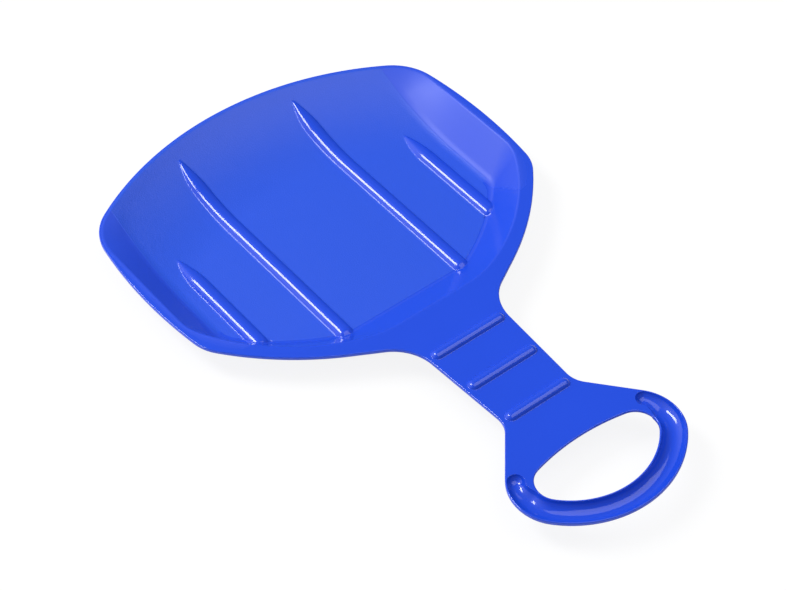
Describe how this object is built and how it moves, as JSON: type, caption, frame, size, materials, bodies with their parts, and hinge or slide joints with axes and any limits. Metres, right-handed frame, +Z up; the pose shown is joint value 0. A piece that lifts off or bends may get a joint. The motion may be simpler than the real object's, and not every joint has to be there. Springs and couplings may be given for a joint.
{
  "type": "snow slider",
  "caption": "Small plastic sled in one moulded shell: shallow ribbed seat pan, ridged neck and a round hand grip with a finger trough.",
  "frame": {"origin": "under the middle of the shell's box, on the surface that the pan rests on", "axes": "+Z up; +Y from the hand grip to the rear of the seat pan; +X across, and the shell is symmetric about X = 0"},
  "size_m": [0.3864, 0.594, 0.0341],
  "materials": {
    "blue_polyethylene": "smooth gloss polyethylene, with a fine matte grain on the pan floor"
  },
  "bodies": {
    "root": {"slider_shell": "blue_polyethylene"}
  },
  "joints": []
}
